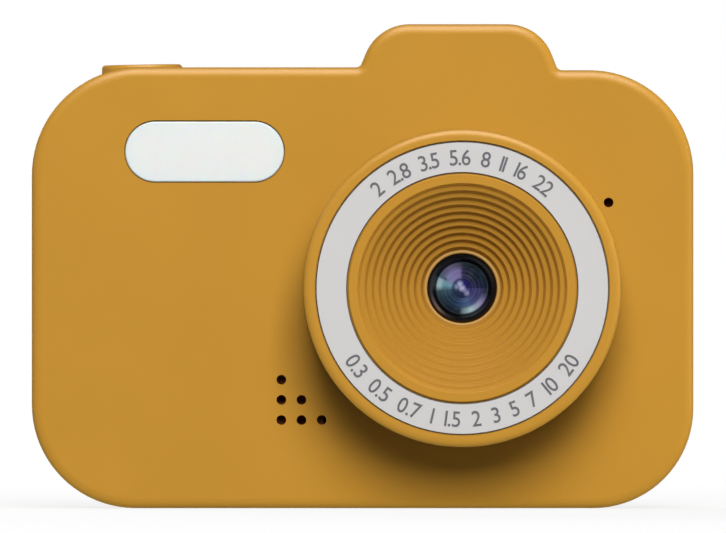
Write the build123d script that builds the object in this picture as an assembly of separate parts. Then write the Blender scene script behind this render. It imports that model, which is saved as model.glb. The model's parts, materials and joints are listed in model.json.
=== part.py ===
from build123d import *
import math
import os

# Kids digital camera, in millimetres: two shells, lens barrel, camera module, flash, keys,
# boards, battery, speaker, microphone, screen, ports and screws.
# Frame: +Z up, the camera stands on the flat of its base (Z = 0), the lens looks along -Y,
# +X is to the right of somebody facing the lens. The origin is the middle of the base flat.
# In names, L is the -X (shutter) side and R the +X (port) side.
# Y0, Y1 and Z0, Z1 are the lower and upper limits of a piece.

# ------------------------------------------------------------------ body
BODY_W = 92.0
TOP_L, TOP_R = 61.3, 60.9                # heights of the shoulders
CORNER_TOP_L, CORNER_TOP_R = 15.0, 14.4
CORNER_LOW_L, CORNER_LOW_R = 14.4, 13.9
FRONT_Y, REAR_Y = -13.0, 13.0            # flat outer faces
PART_Y = -2.0                            # parting plane of the two shells
WALL = 2.0
FRONT_IN, REAR_IN = FRONT_Y + WALL, REAR_Y - WALL    # inner faces of the walls
FRONT_ROUND, REAR_ROUND = 1.4, 2.4       # rounds along the outer edges
PART_BEVEL = 0.14                        # bevel either side of the parting line
LIP_OUT = 1.05                           # tongue starts this far in from the outside
LIP_LEN, LIP_GAP = 1.1, 0.05
LIP_END = PART_Y + LIP_LEN + LIP_GAP     # floor of the groove for the tongue
CLIP = 0.8                               # inset that trims inner features near the outside

HUMP_X, HUMP_TOP = 13.4, 67.3
HUMP_HALF_TOP, HUMP_HALF_FOOT = 11.3, 13.75          # half widths, before rounding
HUMP_R, HUMP_FOOT_R = 6.6, 0.9

OVERLAP = 0.1            # how far added features sink into a wall
BEYOND = 1.0             # how far cutters run past a face
REVEAL = 0.30            # depth of the groove round the trim ring, cone and flash window
SNUG = 0.05              # clearance of the same pieces below that groove

# ------------------------------------------------------------------ lens
LENS_X, LENS_Z = 13.8, 30.6
BARREL_R, BARREL_FRONT = 22.0, -27.0
BARREL_EDGE = 1.0        # round on the front rim
BARREL_BORE = 20.0
BARREL_OPEN_R = 13.0     # hole in the foot of the barrel
SHELL_OPEN_R = 14.0      # hole in the front wall
RING_RO, RING_RI = 20.27, 15.97
RING_SEAT_R = 20.45
RING_FRONT, RING_BACK = -26.90, -25.90
RING_BEVEL = 0.12
CONE_RO = 15.79
CONE_FRONT = BARREL_FRONT + 0.05
CONE_STEP_R = 14.34      # middle of the first riser
CONE_PITCH = 0.975       # radial pitch of the steps
CONE_STEP = 0.75         # depth of one step
CONE_RISER_W = 0.40      # the risers lean, each covers this much of the radius
CONE_SOFT = 0.12         # rounding of the step edges
CONE_STEPS = 10
CONE_FLANGE_R, CONE_FLANGE_BACK = 18.50, -24.9
BEZEL_RO, BEZEL_RI = 4.80, 3.78
BEZEL_FRONT, BEZEL_BACK = -19.75, -17.90
GLASS_R, GLASS_BACK = 3.75, -18.10
REAR_LENS_R, REAR_LENS_BACK = 3.2, -16.60
FILTER_FRONT = -15.60
SENSOR_BOARD_Y0, SENSOR_BOARD_Y1 = -14.0, -13.2
BARREL_SCREW_RING = 17.7
BARREL_SCREW_ANGLES = (90.0, 210.0, 330.0)
MODULE_SCREW_SPACING = 8.0               # from the lens axis

# ------------------------------------------------------------------ flash and sound
FLASH_X, FLASH_Z = -21.96, 49.56
FLASH_W, FLASH_H, FLASH_GAP = 22.1, 8.4, 0.16
FLASH_BOX_W, FLASH_BOX_H = 24.4, 10.6    # reflector and its board
FLASH_WINDOW_BACK, FLASH_BOARD_Y0, FLASH_BOARD_Y1 = -10.0, -6.5, -5.7
FLASH_RIB_OFFSET, FLASH_RIB_BACK = 12.9, -7.6
MIC_X, MIC_Z = 34.2, 42.5
MIC_R, MIC_BOOT_R = 2.0, 3.0
MIC_FRONT, MIC_RING_BACK = -10.2, -8.8
SPEAKER_X, SPEAKER_Z, SPEAKER_R = -12.2, 12.6, 8.0
SPEAKER_RING_BACK = -8.6
SOUND_R = 0.675          # sound holes
SPEAKER_HOLES = (        # (x, z)
    (-11.29, 17.86),
    (-11.29, 15.06), (-8.49, 15.06),
    (-11.29, 12.26), (-8.49, 12.26), (-5.69, 12.26),
)

# ------------------------------------------------------------------ shutter button
SHUTTER_X, SHUTTER_Y, SHUTTER_R = -30.8, 1.0, 5.6
SHUTTER_MID_Z = 60.0     # middle of the cap and of its hole, before trimming
SHUTTER_TOP = 61.84      # highest point of the cap
SHUTTER_LEAN = 1.0       # degrees, the top of the cap leans down towards -X
SHUTTER_GAP = 0.15
COLLAR_R, COLLAR_Z0, COLLAR_Z1 = 7.7, 57.5, 60.4
SWITCH_Y = 5.2           # the switch stands behind the middle of the cap
SWITCH_PLUNGER_TOP = 55.70
PLUNGER_GAP = 0.03       # between any plunger and its key

# ------------------------------------------------------------------ main board and bosses
BOARD_FRONT, BOARD_BACK = 7.6, 8.6
BOARD_W, BOARD_Z0, BOARD_Z1 = 83.6, 4.2, 55.6
BOSS_R, BOSS_ANGLE, BOSS_REACH = 3.1, 25.0, 10.0
BOSS_FROM_CORNER = 15.0  # the bosses are set out from points this far in from the corners
BOARD_SCREWS = ((-14.6, 52.5), (30.0, 52.5), (30.0, 8.5), (-14.6, 8.5))    # (x, z)
SCREW_CORE, PILOT, SCREW_PASS = 0.85, 0.88, 1.1      # radii: screw, pilot and passing holes
CASE_SCREW_SEAT, CASE_PILOT_FRONT = 6.0, -9.4

# ------------------------------------------------------------------ screen
WINDOW_X, WINDOW_Z = 12.0, 30.6
WINDOW_W, WINDOW_H, WINDOW_R, WINDOW_T = 47.0, 37.0, 3.0, 1.15
WINDOW_SINK = 0.05       # the window lies this far below the rear face
LCD_W, LCD_H = 47.8, 34.6
LCD_VIEW_W, LCD_VIEW_H = 40.8, 30.6
LCD_Y0, LCD_Y1 = 8.6, 10.6

# ------------------------------------------------------------------ rear keys
PAD_X, PAD_Z = -28.0, 30.6
PAD_DISH_R, PAD_DISH = 10.75, 0.7
KEY_RI, KEY_RO = 5.3, 10.2
KEY_HALF = 39.0          # half angle of a direction key
KEY_CORNER, KEY_GAP, KEY_PROUD = 0.9, 0.14, 0.35
OK_R, ROUND_KEY_R = 4.25, 3.4
POWER_X, POWER_Z = -28.0, 47.9
MODE_X, MODE_Z = -28.0, 13.3
KEY_FLANGE_Y0, KEY_FLANGE_Y1 = 10.16, 10.86
KEY_SWITCH_RING = 7.75   # pitch radius of the four direction switches
# (name, angle); left and right are those of a user behind the camera, so +X is left
DIRECTION_KEYS = (("left", 0), ("up", 90), ("right", 180), ("down", 270))

# ------------------------------------------------------------------ ports and lanyard
COVER_Z, COVER_H, COVER_T, COVER_Y1 = 30.6, 27.2, 1.4, 9.6
SIDE_X = BODY_W / 2      # outer face of the port side
HINGE_X, HINGE_Y, HINGE_R = 45.0, 1.9, 1.0
HINGE_PIN_R = 0.5        # stubs at both ends of the bead, held in the rear shell
PORT_GAP = 0.05
USB_Y, USB_Z = 6.02, 38.0
CARD_Y, CARD_Z = 6.55, 24.5
CARD_END_X = 41.3        # outer end of the memory card, latched
LANYARD_X, LANYARD_Y, LANYARD_Z = -44.3, -2.0, 40.5
LANYARD_R, LANYARD_LEN = 1.1, 11.1

os.makedirs("parts", exist_ok=True)


# ------------------------------------------------------------------ solids from sketches
def plane_y(y):
    """Sketch x is X, sketch y is Z, the normal looks out of the front (-Y)."""
    return Plane(origin=(0, y, 0), x_dir=(1, 0, 0), z_dir=(0, -1, 0))


def prism(sketch, y0, y1):
    return extrude(plane_y(y1) * sketch, y1 - y0)


def rod(x, z, radius, y0, y1):
    return prism(Pos(x, z) * Circle(radius), y0, y1)


def tube(x, z, outer, inner, y0, y1):
    return prism(Pos(x, z) * (Circle(outer) - Circle(inner)), y0, y1)


def plate(x, z, width, height, corner, y0, y1):
    return prism(Pos(x, z) * RectangleRounded(width, height, corner), y0, y1)


def stadium(width, height):
    return RectangleRounded(width, height, height / 2 - 0.001)


def block(x0, x1, y0, y1, z0, z1):
    return Pos((x0 + x1) / 2, (y0 + y1) / 2, (z0 + z1) / 2) * Box(x1 - x0, y1 - y0, z1 - z0)


def brick(x, z, width, height, y0, y1):
    """A block centred on (x, z)."""
    return block(x - width / 2, x + width / 2, y0, y1, z - height / 2, z + height / 2)


def post(x, y, z, radius, height):
    """An upright cylinder centred on (x, y, z)."""
    return Pos(x, y, z) * Cylinder(radius, height)


def polygon(points):
    return make_face(Polyline(*points, close=True))


def revolved(face, x, z):
    """Revolve a (radius, y) face about an axis along Y."""
    return revolve(Plane(origin=(x, 0, z)) * face, Axis((x, 0, z), (0, 1, 0)), 360)


def turned(points, x, z):
    return revolved(polygon(points), x, z)


def turned_up(points):
    """Revolve (radius, z) points about the Z axis."""
    return revolve(plane_y(0) * polygon(points), Axis((0, 0, 0), (0, 0, 1)), 360)


def left_of(direction):
    return Vector(-direction.Y, direction.X)


def rounded(corners):
    """A face from (x, y, radius) corners, counter-clockwise."""
    count = len(corners)
    spots = [Vector(x, y) for x, y, _ in corners]
    turns = []
    for i, spot in enumerate(spots):
        radius = corners[i][2]
        before = (spot - spots[i - 1]).normalized()
        after = (spots[(i + 1) % count] - spot).normalized()
        turn = math.atan2(before.cross(after).Z, before.dot(after))
        reach = radius * math.tan(abs(turn) / 2)
        start, end = spot - before * reach, spot + after * reach
        middle = None
        if radius > 0:
            centre = start + left_of(before) * (radius if turn > 0 else -radius)
            middle = centre + (spot - centre).normalized() * radius
        turns.append((start, middle, end))
    edges = []
    for i, (start, middle, end) in enumerate(turns):
        if middle is not None:
            edges.append(ThreePointArc(start, middle, end))
        edges.append(Line(end, turns[(i + 1) % count][0]))
    return make_face(edges)


def outline(inset=0.0):
    """The body seen from the front, moved inwards by inset."""
    half = BODY_W / 2
    # (x, z, radius, 1 convex or -1 concave)
    corners = [
        (-half, 0.0, CORNER_LOW_L, 1),
        (half, 0.0, CORNER_LOW_R, 1),
        (half, TOP_R, CORNER_TOP_R, 1),
        (HUMP_X + HUMP_HALF_FOOT, TOP_R, HUMP_FOOT_R, -1),
        (HUMP_X + HUMP_HALF_TOP, HUMP_TOP, HUMP_R, 1),
        (HUMP_X - HUMP_HALF_TOP, HUMP_TOP, HUMP_R, 1),
        (HUMP_X - HUMP_HALF_FOOT, TOP_L, HUMP_FOOT_R, -1),
        (-half, TOP_L, CORNER_TOP_L, 1),
    ]
    sides = []
    for i, corner in enumerate(corners):
        spot = Vector(*corner[:2])
        along = (Vector(*corners[(i + 1) % len(corners)][:2]) - spot).normalized()
        sides.append((spot + left_of(along) * inset, along))
    moved = []
    for i, (_, _, radius, bend) in enumerate(corners):
        start_a, along_a = sides[i - 1]
        start_b, along_b = sides[i]
        reach = (start_b - start_a).cross(along_b).Z / along_a.cross(along_b).Z
        meet = start_a + along_a * reach
        moved.append((meet.X, meet.Y, radius - bend * inset))
    return rounded(moved)


def body(inset, y0, y1):
    return prism(outline(inset), y0, y1)


def sector(inner, outer, half_angle, grow, corner, turn):
    """One quarter key of the direction pad, centred on the angle turn."""
    angle = math.radians(half_angle)
    back = grow / math.sin(angle)
    reach = (outer + grow) * 1.6
    spread = (reach + back) * math.tan(angle)
    wedge = polygon([(-back, 0), (reach, -spread), (reach, spread)])
    piece = (Circle(outer + grow) - Circle(inner - grow)) & wedge
    piece = fillet(piece.vertices(), corner)
    return Rot(0, 0, turn) * piece


def edges_at(solid, axis, level):
    """Edges that lie in the plane where the axis letter has this level."""
    def lies(point):
        return abs(getattr(point, axis) - level) < 1e-4

    return solid.edges().filter_by(
        lambda edge: all(lies(vertex) for vertex in edge.vertices()) and lies(edge.center())
    )


def wire(points, radius):
    path = Spline(*points)
    return sweep(Plane(origin=path @ 0, z_dir=path % 0) * Circle(radius), path=path)


def ribbon(points, thick, x0, x1):
    """A flat flexible strip from (y, z) points, running from x0 to x1 in width."""
    spots = [Vector(*point) for point in points]
    normals = [left_of((b - a).normalized()) for a, b in zip(spots, spots[1:])]
    left, right = [], []
    for i, spot in enumerate(spots):
        near = normals[max(i - 1, 0):i + 1]
        mean = sum(near, Vector(0, 0)) * (1 / len(near))
        offset = mean * (thick / 2 / mean.dot(mean))
        left.append(spot + offset)
        right.append(spot - offset)
    plane = Plane(origin=(x0, 0, 0), x_dir=(0, 1, 0), z_dir=(1, 0, 0))
    return extrude(plane * polygon(left + right[::-1]), x1 - x0)


def screw(head_r, head_h, core, length, slot):
    """A cross-recessed pan-head screw: the head stands on Z = 0, the shank goes down."""
    head = turned_up([
        (0, 0), (head_r, 0), (head_r, head_h * 0.55), (head_r * 0.82, head_h * 0.9),
        (head_r * 0.6, head_h), (0, head_h),
    ])
    shank = turned_up([
        (0, 0.05), (core, 0.05), (core, -length + core), (core * 0.35, -length), (0, -length),
    ])
    arm, depth = head_r * 1.25, head_h * 1.1
    cross = Pos(0, 0, head_h) * (Box(slot, arm, depth) + Box(arm, slot, depth))
    return head + shank - cross


def screws(places, seat_y, toward, **sizes):
    """Screws at (x, z) places; toward is 1 with the heads to the rear, -1 to the front."""
    return [
        Plane(origin=(x, seat_y, z), x_dir=(1, 0, 0), z_dir=(0, toward, 0)) * screw(**sizes)
        for x, z in places
    ]


def save(name, shape):
    if isinstance(shape, (list, tuple)):
        solids = []
        for item in shape:
            solids += list(item.solids())
        shape = Compound(children=solids)
    export_step(shape, "parts/" + name + ".step")


# ------------------------------------------------------------------ places as (x, z)
def around(x, z, radius, degrees):
    angle = math.radians(degrees)
    return x + radius * math.cos(angle), z + radius * math.sin(angle)


def boss_places():
    out = math.cos(math.radians(BOSS_ANGLE)) * BOSS_REACH
    up = math.sin(math.radians(BOSS_ANGLE)) * BOSS_REACH
    x = BODY_W / 2 - BOSS_FROM_CORNER + out
    low = BOSS_FROM_CORNER - up
    return (
        (-x, low), (x, low),
        (x, TOP_R - BOSS_FROM_CORNER + up), (-x, TOP_L - BOSS_FROM_CORNER + up),
    )


BOSSES = boss_places()
BARREL_SCREWS = [around(LENS_X, LENS_Z, BARREL_SCREW_RING, a) for a in BARREL_SCREW_ANGLES]
MODULE_SCREWS = [(LENS_X + side * MODULE_SCREW_SPACING, LENS_Z) for side in (-1, 1)]


# ------------------------------------------------------------------ shapes both shells share
def shutter_side(y0, y1, z0, z1):
    """A region of the -X half, used to divide shapes between the shells."""
    return block(-60, 0, y0, y1, z0, z1)


def lanyard_block(x0, x1, half_y, half_z):
    return block(
        x0, x1, LANYARD_Y - half_y, LANYARD_Y + half_y, LANYARD_Z - half_z, LANYARD_Z + half_z
    )


shutter_hole = post(SHUTTER_X, SHUTTER_Y, SHUTTER_MID_Z, SHUTTER_R + SHUTTER_GAP, 12.0)
collar = post(
    SHUTTER_X, SHUTTER_Y, (COLLAR_Z0 + COLLAR_Z1) / 2, COLLAR_R, COLLAR_Z1 - COLLAR_Z0
)
collar = collar & body(0.6, FRONT_Y, REAR_Y)

pocket_out = lanyard_block(-45.4, -40.4, 4.4, 5.9)
pocket_in = lanyard_block(-50.0, -41.9, 3.0, 4.4)
pocket_in = fillet(pocket_in.edges().filter_by(Axis.X), 1.4)
pin_hole = post(LANYARD_X, LANYARD_Y, LANYARD_Z, LANYARD_R + 0.01, LANYARD_LEN + 0.1)


def cut_side_openings(shell):
    """The shutter hole, the lanyard pocket and the hole for its pin."""
    shell -= shutter_hole
    shell -= pocket_in
    shell -= pin_hole
    return shell


# ------------------------------------------------------------------ front shell
def front_shell():
    root = FRONT_IN - OVERLAP
    outside = FRONT_Y - BEYOND
    through = FRONT_IN + 0.01
    shell = body(0, FRONT_Y, PART_Y)
    shell = fillet(edges_at(shell, "Y", FRONT_Y), FRONT_ROUND)
    shell = chamfer(edges_at(shell, "Y", PART_Y), PART_BEVEL)
    shell -= body(WALL, FRONT_IN, PART_Y)
    # tongue
    shell += prism(outline(LIP_OUT) - outline(WALL), PART_Y - 0.5, PART_Y + LIP_LEN)
    for x, z in BOSSES:
        shell += rod(x, z, BOSS_R, root, PART_Y) & body(CLIP, FRONT_Y, PART_Y)
    # rings round the speaker and the microphone
    speaker_ring = tube(
        SPEAKER_X, SPEAKER_Z, SPEAKER_R + 1.1, SPEAKER_R + 0.1, root, SPEAKER_RING_BACK
    )
    shell += speaker_ring & body(CLIP, FRONT_Y, PART_Y)
    shell += tube(MIC_X, MIC_Z, MIC_BOOT_R + 1.0, MIC_BOOT_R + 0.05, root, MIC_RING_BACK)
    shell += collar & shutter_side(FRONT_Y, PART_Y, 50, 70)
    shell += pocket_out & shutter_side(FRONT_Y, PART_Y, 30, 60)
    # upright ribs that locate the flash reflector
    for side in (-1, 1):
        x = FLASH_X + side * FLASH_RIB_OFFSET
        shell += brick(x, FLASH_Z, 1.0, 8.8, root, FLASH_RIB_BACK)
    # lens opening and barrel screws
    shell -= rod(LENS_X, LENS_Z, SHELL_OPEN_R, outside, -8.0)
    for x, z in BARREL_SCREWS:
        shell -= rod(x, z, SCREW_PASS, outside, -10.0)
    # flash opening, wider at the groove
    for gap, depth_y in ((FLASH_GAP, FRONT_Y + REVEAL), (SNUG, through)):
        opening = stadium(FLASH_W + 2 * gap, FLASH_H + 2 * gap)
        shell -= prism(Pos(FLASH_X, FLASH_Z) * opening, outside, depth_y)
    for x, z in ((MIC_X, MIC_Z),) + SPEAKER_HOLES:
        shell -= rod(x, z, SOUND_R, outside, through)
    for x, z in BOSSES:
        shell -= rod(x, z, PILOT, CASE_PILOT_FRONT, PART_Y + BEYOND)
    return cut_side_openings(shell)


save("front_shell", front_shell())


# ------------------------------------------------------------------ rear shell
def port_recess():
    """Recess for the cover, with the round groove that holds its bead and stubs."""
    z0, z1 = COVER_Z - COVER_H / 2 - 0.1, COVER_Z + COVER_H / 2 + 0.1
    outside = 50.0
    recess = block(SIDE_X - COVER_T - PORT_GAP, outside, HINGE_Y, COVER_Y1 + 0.1, z0, z1)
    recess += block(HINGE_X, outside, HINGE_Y - HINGE_R - PORT_GAP, HINGE_Y + 0.5, z0, z1)
    recess += post(HINGE_X, HINGE_Y, COVER_Z, HINGE_R + PORT_GAP, z1 - z0)
    recess += post(HINGE_X, HINGE_Y, COVER_Z, HINGE_PIN_R + PORT_GAP, COVER_H + 2.8)
    return recess


def side_opening(y, z, half_y, half_z):
    return block(40.0, SIDE_X, y - half_y, y + half_y, z - half_z, z + half_z)


def rear_shell():
    root = REAR_IN + OVERLAP
    outside = REAR_Y + BEYOND
    key_cut = REAR_IN - 0.5
    shell = body(0, PART_Y, REAR_Y)
    shell = fillet(edges_at(shell, "Y", REAR_Y), REAR_ROUND)
    shell = chamfer(edges_at(shell, "Y", PART_Y), PART_BEVEL)
    shell -= body(WALL, PART_Y, REAR_IN)
    # groove for the tongue
    shell -= body(LIP_OUT - LIP_GAP, PART_Y - BEYOND, LIP_END)
    for x, z in BOSSES:
        shell += rod(x, z, BOSS_R, PART_Y, root) & body(CLIP, LIP_END, REAR_Y)
        shell += rod(x, z, BOSS_R, PART_Y, PART_Y + 1.5) & body(WALL + 0.05, PART_Y, REAR_Y)
    for x, z in BOARD_SCREWS:
        shell += rod(x, z, 2.4, BOARD_BACK, root)
    shell += collar & shutter_side(LIP_END, REAR_Y, 50, 70)
    pocket_inner = pocket_out & body(WALL + 0.05, PART_Y, REAR_Y)
    shell += pocket_inner & shutter_side(PART_Y, REAR_Y, 30, 60)
    shell += pocket_out & shutter_side(LIP_END, REAR_Y, 30, 60)
    # thick land behind the port recess
    land = COVER_H / 2 + 1.2
    shell += block(42.5, 44.6, 0.2, 10.9, COVER_Z - land, COVER_Z + land)
    # screen pocket and its opening
    shell -= plate(
        WINDOW_X, WINDOW_Z, WINDOW_W + 0.2, WINDOW_H + 0.2, WINDOW_R + 0.1,
        REAR_Y - WINDOW_T - WINDOW_SINK, outside,
    )
    shell -= plate(
        WINDOW_X, WINDOW_Z, LCD_VIEW_W + 1.0, LCD_VIEW_H + 1.0, 1.0, REAR_Y - 3, outside
    )
    # dished direction pad
    shell -= turned([
        (0, REAR_Y - PAD_DISH), (PAD_DISH_R - 0.7, REAR_Y - PAD_DISH), (PAD_DISH_R, REAR_Y),
        (PAD_DISH_R, outside), (0, outside),
    ], PAD_X, PAD_Z)
    # key holes
    for _, turn in DIRECTION_KEYS:
        hole = sector(KEY_RI, KEY_RO, KEY_HALF, KEY_GAP, KEY_CORNER + KEY_GAP, turn)
        shell -= prism(Pos(PAD_X, PAD_Z) * hole, key_cut, outside)
    for x, z, radius in (
        (PAD_X, PAD_Z, OK_R), (POWER_X, POWER_Z, ROUND_KEY_R), (MODE_X, MODE_Z, ROUND_KEY_R),
    ):
        shell -= rod(x, z, radius + KEY_GAP, key_cut, outside)
    # case screws: head wells and passing holes
    for x, z in BOSSES:
        shell -= rod(x, z, 2.3, CASE_SCREW_SEAT, outside)
        shell -= rod(x, z, SCREW_PASS, PART_Y - BEYOND, outside)
    for x, z in BOARD_SCREWS:
        shell -= rod(x, z, PILOT, BOARD_BACK - BEYOND, 11.4)
    shell -= port_recess()
    shell -= side_opening(USB_Y, USB_Z, 1.95, 4.85)
    shell -= side_opening(CARD_Y, CARD_Z, 1.25, 6.3)
    return cut_side_openings(shell)


save("rear_shell", rear_shell())


# ------------------------------------------------------------------ lens barrel and insert
def lens_barrel():
    foot_front = FRONT_Y - 1.5
    barrel = turned([
        (BARREL_R, FRONT_Y),
        (BARREL_R, BARREL_FRONT),
        (RING_SEAT_R, BARREL_FRONT),
        (RING_SEAT_R, BARREL_FRONT + REVEAL),
        (RING_RO + SNUG, BARREL_FRONT + REVEAL),
        (RING_RO + SNUG, RING_BACK),
        (CONE_FLANGE_R + 0.1, RING_BACK),
        (CONE_FLANGE_R + 0.1, CONE_FLANGE_BACK),
        (16.0, CONE_FLANGE_BACK),
        (16.0, -23.4),
        (BARREL_BORE, -22.4),
        (BARREL_BORE, foot_front),
        (BARREL_OPEN_R, foot_front),
        (BARREL_OPEN_R, -11.5),
        (SHELL_OPEN_R - 0.1, -11.5),
        (SHELL_OPEN_R - 0.1, FRONT_Y),
    ], LENS_X, LENS_Z)
    rim = barrel.edges().filter_by(
        lambda edge: edge.geom_type == GeomType.CIRCLE
        and abs(edge.center().Y - BARREL_FRONT) < 1e-4
        and abs(edge.radius - BARREL_R) < 1e-3
    )
    barrel = fillet(rim, BARREL_EDGE)
    for x, z in BARREL_SCREWS:
        barrel += rod(x, z, 2.4, -21.0, foot_front + OVERLAP)
        barrel -= rod(x, z, PILOT, -19.6, FRONT_Y + BEYOND)
    return barrel


def lens_cone():
    """The stepped cone, from its flange in over the steps and back along its rear."""
    points = [      # (radius, y, rounding)
        (CONE_FLANGE_R, RING_BACK, 0),
        (RING_RI - SNUG, RING_BACK, 0),
        (RING_RI - SNUG, CONE_FRONT + REVEAL, 0),
        (CONE_RO, CONE_FRONT + REVEAL, 0),
        (CONE_RO, CONE_FRONT + RING_BEVEL, 0),
        (CONE_RO - RING_BEVEL, CONE_FRONT, 0),
    ]
    y = CONE_FRONT
    for step in range(CONE_STEPS):
        middle = CONE_STEP_R - CONE_PITCH * step
        points.append((middle + CONE_RISER_W / 2, y, CONE_SOFT))
        y += CONE_STEP
        points.append((middle - CONE_RISER_W / 2, y, CONE_SOFT))
    points += [
        (BEZEL_RO + 0.05, y, 0), (BEZEL_RO + 0.05, -16.6, 0),
        (6.3, -16.6, 0), (6.3, -17.15, 0),
        (14.75, -23.6, 0), (CONE_RO, -23.6, 0),
        (CONE_RO, CONE_FLANGE_BACK, 0), (CONE_FLANGE_R, CONE_FLANGE_BACK, 0),
    ]
    cone = revolved(rounded(points), LENS_X, LENS_Z)
    for x, z in MODULE_SCREWS:
        cone += rod(x, z, 1.9, -18.9, SENSOR_BOARD_Y0)
        cone -= rod(x, z, 0.6, -17.6, -13.0)
    return cone


save("lens_barrel", lens_barrel())
save("lens_trim_ring", turned([
    (RING_RI, RING_BACK), (RING_RO, RING_BACK),
    (RING_RO, RING_FRONT + RING_BEVEL), (RING_RO - RING_BEVEL, RING_FRONT),
    (RING_RI + RING_BEVEL, RING_FRONT), (RING_RI, RING_FRONT + RING_BEVEL),
], LENS_X, LENS_Z))
save("lens_cone", lens_cone())


# ------------------------------------------------------------------ camera module, front to back
def domed_lens(radius, front, back, pole, sag):
    """A disc with a spherical front face; pole is the Y of its foremost point."""
    ball = (radius ** 2 + sag ** 2) / (2 * sag)
    return rod(LENS_X, LENS_Z, radius, front, back) & (
        Pos(LENS_X, pole + ball, LENS_Z) * Sphere(ball)
    )


def lens_holder():
    holder = rod(LENS_X, LENS_Z, 4.75, BEZEL_BACK, -16.0)
    holder += plate(LENS_X, LENS_Z, 11.0, 11.0, 0.8, -16.30, SENSOR_BOARD_Y0)
    holder -= rod(LENS_X, LENS_Z, REAR_LENS_R + 0.02, -18.5, REAR_LENS_BACK)
    holder -= rod(LENS_X, LENS_Z, 2.6, -17.0, -15.0)
    holder -= brick(LENS_X, LENS_Z, 8.4, 8.4, FILTER_FRONT, -13.0)
    return holder


def sensor_board():
    board = plate(LENS_X, LENS_Z, 21.6, 12.6, 1.2, SENSOR_BOARD_Y0, SENSOR_BOARD_Y1)
    for x, z in MODULE_SCREWS:
        board -= rod(x, z, 0.8, -15, -12)
    return board


SENSOR_FLEX_PATH = [     # (y, z)
    (-13.05, 29.5), (-13.05, 22.6), (-12.4, 21.4), (-11.2, 21.0), (1.2, 21.0),
    (2.6, 20.4), (3.6, 18.6), (4.6, 17.2), (5.6, 16.8), (6.4, 16.8),
]

save("lens_bezel", turned([
    (BEZEL_RI, BEZEL_BACK), (BEZEL_RO, BEZEL_BACK),
    (BEZEL_RO, BEZEL_FRONT + 0.25), (BEZEL_RO - 0.25, BEZEL_FRONT),
    (BEZEL_RI + 0.35, BEZEL_FRONT), (BEZEL_RI, BEZEL_FRONT + 0.55),
], LENS_X, LENS_Z))
save("front_lens", domed_lens(GLASS_R, front=-19.75, back=GLASS_BACK, pole=-19.65, sag=0.70))
save("aperture_stop", tube(LENS_X, LENS_Z, 3.7, 1.3, GLASS_BACK, BEZEL_BACK))
save("rear_lens", domed_lens(
    REAR_LENS_R, front=-17.85, back=REAR_LENS_BACK, pole=-17.80, sag=0.25
))
save("lens_holder", lens_holder())
save("ir_filter", brick(LENS_X, LENS_Z, 8.0, 8.0, FILTER_FRONT, -15.30))
save("image_sensor", brick(LENS_X, LENS_Z, 6.6, 6.6, -14.90, SENSOR_BOARD_Y0))
save("sensor_board", sensor_board())
save("sensor_flex", ribbon(SENSOR_FLEX_PATH, 0.28, LENS_X - 4.0, LENS_X + 4.0))


# ------------------------------------------------------------------ flash
def flash_window():
    place = Pos(FLASH_X, FLASH_Z)
    window = prism(place * stadium(FLASH_W, FLASH_H), FRONT_Y, FRONT_IN)
    window = fillet(edges_at(window, "Y", FRONT_Y), 0.25)
    flange = stadium(FLASH_W + 2.4, FLASH_H + 2.4)
    window += prism(place * flange, FRONT_IN, FLASH_WINDOW_BACK)
    return window


flash_box = RectangleRounded(FLASH_BOX_W, FLASH_BOX_H, 2.0)
flash_frame = flash_box - RectangleRounded(FLASH_BOX_W - 2.0, FLASH_BOX_H - 2.0, 1.4)
save("flash_window", flash_window())
save("flash_reflector", prism(
    Pos(FLASH_X, FLASH_Z) * flash_frame, FLASH_WINDOW_BACK, FLASH_BOARD_Y0
))
save("flash_board", prism(Pos(FLASH_X, FLASH_Z) * flash_box, FLASH_BOARD_Y0, FLASH_BOARD_Y1))
save("flash_leds", [
    brick(FLASH_X + offset, FLASH_Z, 3.5, 2.8, -7.4, FLASH_BOARD_Y0) for offset in (-5.0, 5.0)
])


# ------------------------------------------------------------------ shutter button, its switch
def shutter_button():
    cap = post(SHUTTER_X, SHUTTER_Y, SHUTTER_MID_Z, SHUTTER_R, 6.0)
    # leaning top
    drop = math.tan(math.radians(SHUTTER_LEAN)) * (SHUTTER_R - 1.0)
    top = Pos(SHUTTER_X, SHUTTER_Y, SHUTTER_TOP - drop) * Rot(0, -SHUTTER_LEAN, 0)
    cap -= top * Pos(0, 0, 5) * Box(30, 30, 10)
    cap = fillet(cap.edges().sort_by(Axis.Z)[-1], 0.50)
    cap = cap & block(
        SHUTTER_X - 10, SHUTTER_X + 10, SHUTTER_Y - 10, SHUTTER_Y + 10, COLLAR_Z0 - 0.1, 70
    )
    # flange below the collar, hollow, and the foot over the switch
    cap += post(SHUTTER_X, SHUTTER_Y, COLLAR_Z0 - 0.5, SHUTTER_R + 1.15, 0.8)
    cap -= post(SHUTTER_X, SHUTTER_Y - 0.6, 57.6, 3.2, 4.0)
    cap += block(
        SHUTTER_X - 1.3, SHUTTER_X + 1.3, SWITCH_Y - 1.3, SWITCH_Y + 1.3,
        SWITCH_PLUNGER_TOP + PLUNGER_GAP, COLLAR_Z0 - 0.8,
    )
    return cap


def shutter_switch():
    case = block(SHUTTER_X - 3.5, SHUTTER_X + 3.5, 3.9, BOARD_FRONT, 51.0, 54.6)
    return case - post(SHUTTER_X, SWITCH_Y, 54.2, 0.97, 2.6)


def shutter_plunger():
    foot = 53.4
    middle = (foot + SWITCH_PLUNGER_TOP) / 2
    return post(SHUTTER_X, SWITCH_Y, middle, 0.92, SWITCH_PLUNGER_TOP - foot)


save("shutter_button", shutter_button())
save("shutter_switch", shutter_switch())
save("shutter_plunger", shutter_plunger())

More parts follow.
